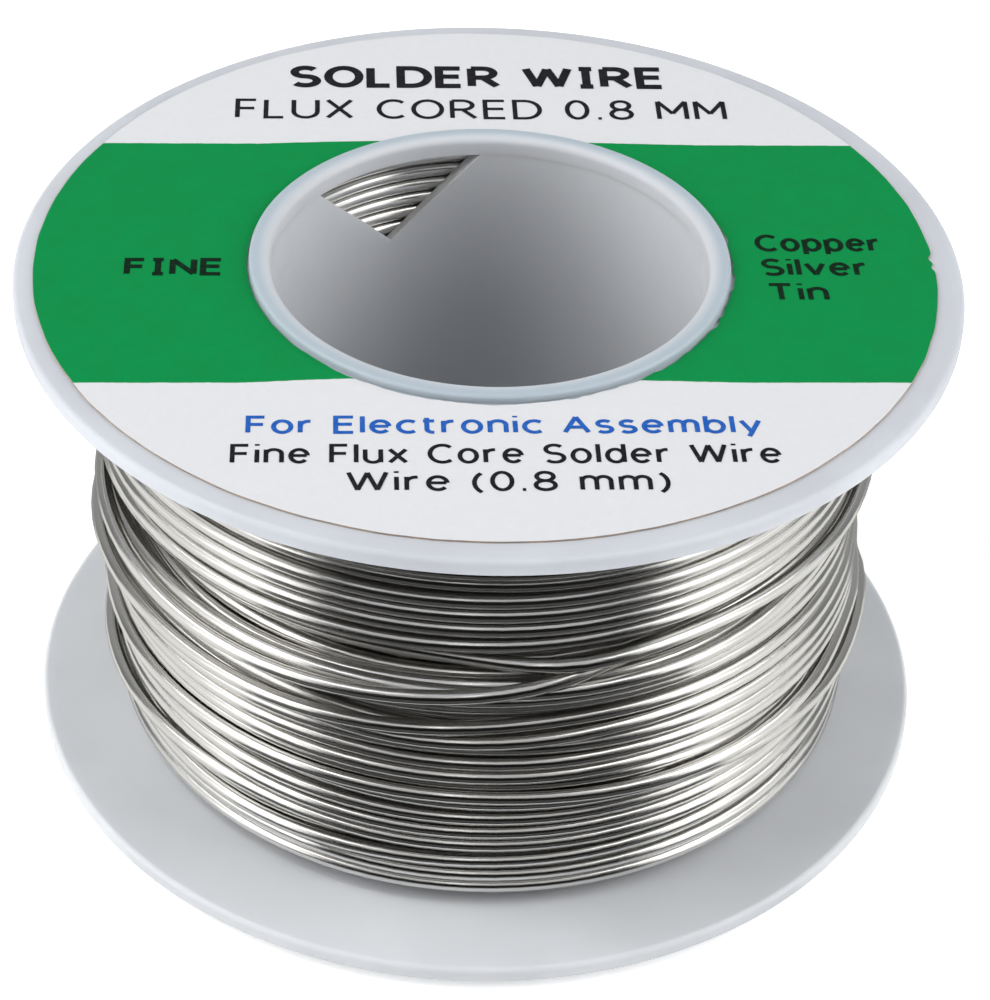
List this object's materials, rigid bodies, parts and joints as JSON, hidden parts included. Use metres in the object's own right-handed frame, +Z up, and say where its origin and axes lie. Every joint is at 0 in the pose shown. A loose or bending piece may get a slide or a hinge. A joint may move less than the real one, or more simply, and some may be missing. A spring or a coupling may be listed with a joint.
{
  "type": "solder wire spool",
  "caption": "Small flanged plastic spool with a paper face label and an open bore, wound full of thin flux-cored solder wire.",
  "frame": {"origin": "centre of the bore at the lower end collar's face, which the spool stands on", "axes": "+Z up along the bore to the labelled face; -Y towards the side from which the label reads the right way up"},
  "size_m": [0.05, 0.05, 0.0294],
  "materials": {
    "flange_plastic": "natural white moulded plastic, slightly translucent, satin",
    "tube_plastic": "natural white moulded plastic, slightly translucent, satin",
    "label_paper": "coated white paper printed with a green band and dark blue and black lettering",
    "solder": "bright drawn tin alloy wire with a soft sheen"
  },
  "bodies": {
    "root": {"bottom_flange": "flange_plastic", "top_flange": "flange_plastic", "core_tube": "tube_plastic", "face_label": "label_paper", "wire_winding": "solder"}
  },
  "joints": []
}
